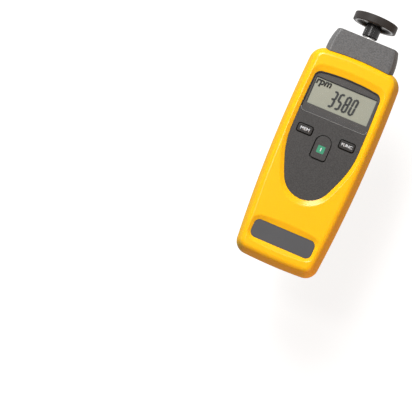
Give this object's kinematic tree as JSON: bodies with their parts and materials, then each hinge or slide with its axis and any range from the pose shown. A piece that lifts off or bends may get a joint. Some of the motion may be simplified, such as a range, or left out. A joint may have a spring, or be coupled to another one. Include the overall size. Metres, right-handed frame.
{
  "type": "contact tachometer",
  "caption": "Handheld contact tachometer: dished moulded case with a display and three keys, a pull-off bearing adapter and a spindle with a pull-off contact wheel.",
  "frame": {"origin": "middle of the flat back of the case, on the surface that the instrument lies on", "axes": "+X to the right of the face, +Y along the case towards the contact wheel, +Z out of the face"},
  "size_m": [0.063, 0.1717, 0.032],
  "materials": {
    "yellow_case": "satin moulded plastic with a fine texture",
    "dark_panel": "fine textured moulded panel",
    "clear_lens": "clear moulded acrylic",
    "badge": "plain dark plate",
    "display": "grey-green reflective display",
    "elastomer": "elastic connector strip",
    "circuit_board": "green solder mask",
    "chip_black": "moulded chip package",
    "black_plastic": "matt black moulding",
    "led_red": "clear red epoxy",
    "cell_sleeve": "plain dark sleeve",
    "key_rubber": "soft key rubber",
    "plunger": "pale plastic plunger",
    "foam": "closed-cell foam",
    "grey_shell": "grey moulded plastic with a fine texture",
    "steel": "turned steel",
    "nickel": "bright nickel-plated bush",
    "brass": "brass",
    "wheel_black": "black moulded wheel",
    "tyre_rubber": "dark rubber tyre"
  },
  "bodies": {
    "case": {"rear_case": "yellow_case", "front_case": "yellow_case", "case_screws": "steel", "fascia_panel": "dark_panel", "display_lens": "clear_lens", "badge_plate": "badge", "lcd_panel": "display", "lcd_connectors": "elastomer", "main_board": "circuit_board", "board_chips": "chip_black", "board_screws": "steel", "switch_bodies": "chip_black", "optics_housing": "black_plastic", "optics_lenses": "clear_lens", "optics_board": "circuit_board", "emitter_led": "led_red", "receiver_diode": "chip_black", "battery_cells": "cell_sleeve", "battery_springs": "steel", "battery_contacts": "steel"},
    "memory_button": {"memory_key": "key_rubber", "memory_plunger": "plunger"},
    "function_button": {"function_key": "key_rubber", "function_plunger": "plunger"},
    "power_button": {"power_key": "key_rubber", "power_plunger": "plunger"},
    "door": {"battery_door": "yellow_case", "door_pad": "foam"},
    "adapter": {"adapter_front_shell": "grey_shell", "adapter_rear_shell": "grey_shell", "adapter_screws": "steel", "bearing_sleeve": "nickel", "bearing_outer_rings": "steel"},
    "ball_carriers": {"bearing_cages": "brass", "bearing_balls": "steel"},
    "spindle": {"drive_shaft": "steel", "bearing_inner_rings": "steel", "shaft_spacer": "brass", "slotted_disc": "black_plastic", "drive_pin": "steel"},
    "contact_wheel": {"wheel_body": "wheel_black", "wheel_tyre": "tyre_rubber"}
  },
  "joints": [
    {"name": "memory_press", "type": "slide", "parent": "case", "child": "memory_button", "axis": [0, 0, -1], "range_m": [0, 0.0005], "stiffness_N_per_m": 1200, "springref_m": -0.0004},
    {"name": "function_press", "type": "slide", "parent": "case", "child": "function_button", "axis": [0, 0, -1], "range_m": [0, 0.0005], "stiffness_N_per_m": 1200, "springref_m": -0.0004},
    {"name": "power_press", "type": "slide", "parent": "case", "child": "power_button", "axis": [0, 0, -1], "range_m": [0, 0.0005], "stiffness_N_per_m": 1200, "springref_m": -0.0004},
    {"name": "door_open", "type": "hinge", "parent": "case", "child": "door", "pos_m": [0, -0.0535, 0], "axis": [-1, 0, 0], "range_deg": [0, 75]},
    {"name": "adapter_pull", "type": "slide", "parent": "case", "child": "adapter", "axis": [0, 1, 0], "range_m": [0, 0.03]},
    {"name": "spindle_spin", "type": "hinge", "parent": "adapter", "child": "spindle", "pos_m": [0, 0.0846, 0.0174], "axis": [0, 1, 0], "continuous": true},
    {"name": "ball_orbit", "type": "hinge", "parent": "adapter", "child": "ball_carriers", "pos_m": [0, 0.0846, 0.0174], "axis": [0, 1, 0], "continuous": true},
    {"name": "wheel_pull", "type": "slide", "parent": "spindle", "child": "contact_wheel", "axis": [0, 1, 0], "range_m": [0, 0.012]}
  ],
  "couplings": [
    {"joint": "ball_orbit", "follows": "spindle_spin", "ratio": 0.4}
  ]
}
